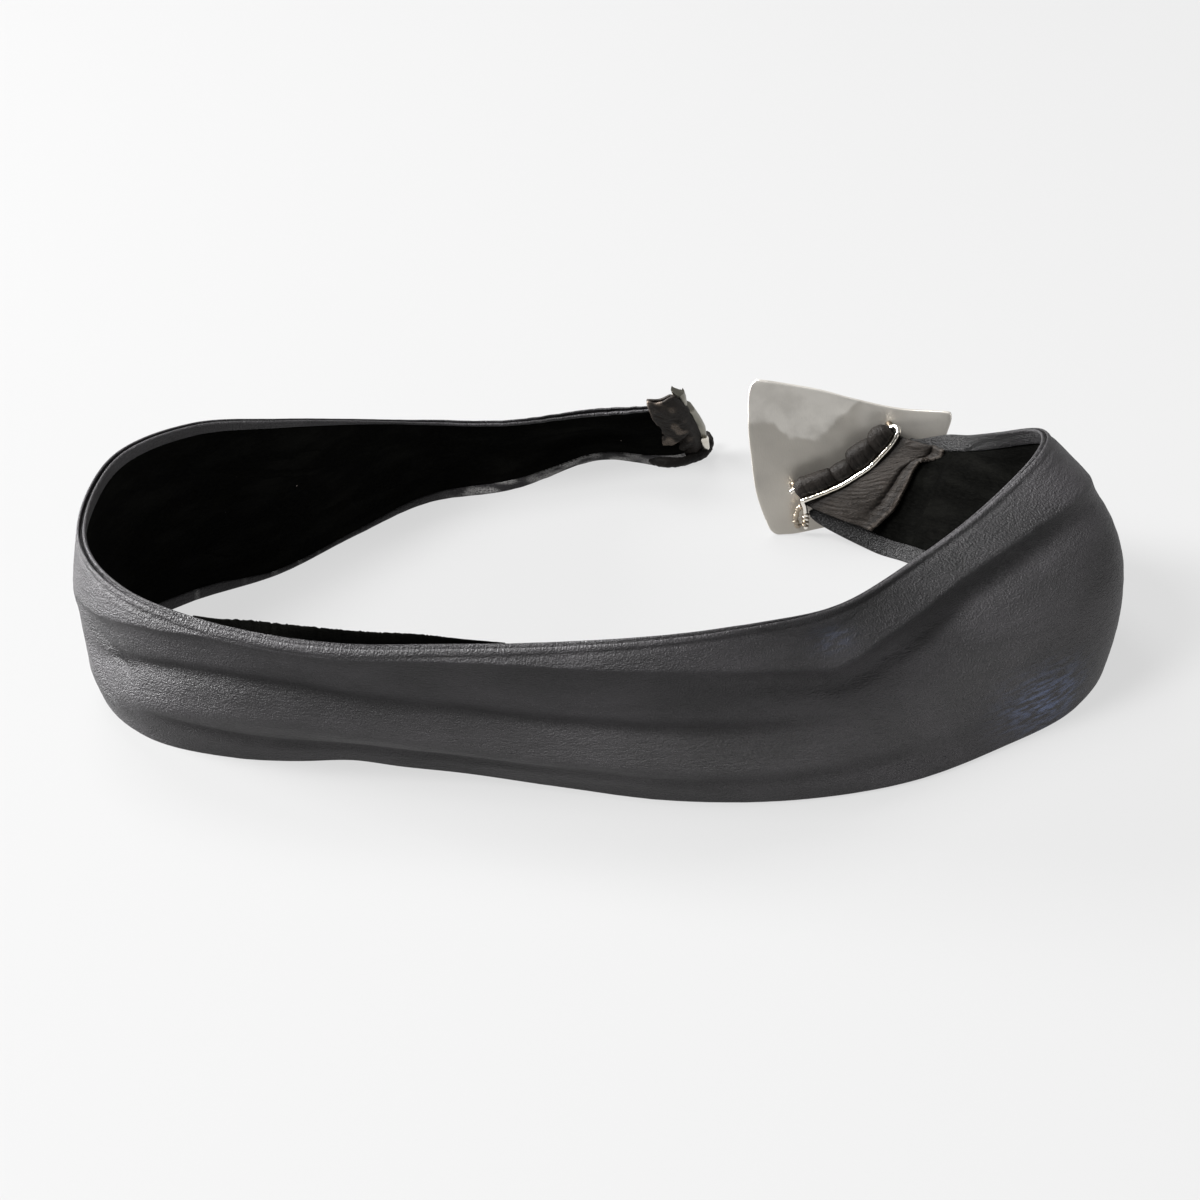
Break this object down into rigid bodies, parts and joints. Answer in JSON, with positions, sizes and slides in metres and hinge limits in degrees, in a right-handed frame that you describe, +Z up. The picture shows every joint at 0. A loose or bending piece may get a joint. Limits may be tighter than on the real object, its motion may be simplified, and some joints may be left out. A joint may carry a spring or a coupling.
{
  "type": "waist belt",
  "caption": "Wide black leather waist belt with a bowed silver buckle plate on one end and a narrow hooking channel on the other, standing on its edge in an open loop.",
  "frame": {"origin": "on the floor under the middle of the belt's box, as it stands on its lower edge", "axes": "+X along the belt's long side, from the strap's left turn to the buckle's side; +Y from the belt's front to the opening between its two ends; +Z up, across the strap's width"},
  "size_m": [0.3601, 0.2556, 0.075],
  "materials": {
    "black_leather": "soft semi-matte leather with a fine wrinkled grain",
    "black_suede": "matte suede nap",
    "grey_interlining": "plain woven interlining, hidden inside the strap",
    "satin_silver": "softly polished satin silver plate",
    "bright_silver": "bright polished silver wire and castings"
  },
  "bodies": {
    "middle": {"strap_face_middle": "black_leather", "suede_lining_middle": "black_suede", "interlining_middle": "grey_interlining"},
    "left_arm": {"strap_face_left": "black_leather", "suede_lining_left": "black_suede", "interlining_left": "grey_interlining"},
    "right_arm": {"strap_face_right": "black_leather", "suede_lining_right": "black_suede", "interlining_right": "grey_interlining"},
    "buckle": {"buckle_end_fold": "black_leather", "buckle_end_lining": "black_suede", "buckle_plate": "satin_silver", "strap_bail": "bright_silver", "bail_post_lower": "bright_silver", "bail_post_upper": "bright_silver", "catch_staple": "bright_silver", "catch_collar": "bright_silver"},
    "clasp_end": {"clasp_end_fold": "black_leather", "clasp_end_lining": "black_suede", "fold_bar": "bright_silver", "bar_lug_lower": "bright_silver", "bar_lug_upper": "bright_silver", "clasp_channel": "bright_silver"}
  },
  "joints": [
    {"name": "left_arm_swing", "type": "hinge", "parent": "middle", "child": "left_arm", "pos_m": [-0.16212, 0.00295, 0.03685], "axis": [0.0906, 0.0073, 0.9959], "range_deg": [-6, 20]},
    {"name": "right_arm_swing", "type": "hinge", "parent": "middle", "child": "right_arm", "pos_m": [0.0339, -0.12024, 0.03404], "axis": [0.0899, 0.09, -0.9919], "range_deg": [-6, 20]},
    {"name": "buckle_swing", "type": "hinge", "parent": "right_arm", "child": "buckle", "pos_m": [0.1127, 0.0498, 0.0215], "axis": [0.499, 0.1198, 0.8583], "range_deg": [0, 35]},
    {"name": "clasp_swing", "type": "hinge", "parent": "left_arm", "child": "clasp_end", "pos_m": [0.01663, 0.11266, 0.0175], "axis": [-0.1257, -0.503, 0.8551], "range_deg": [-25, 25]}
  ]
}
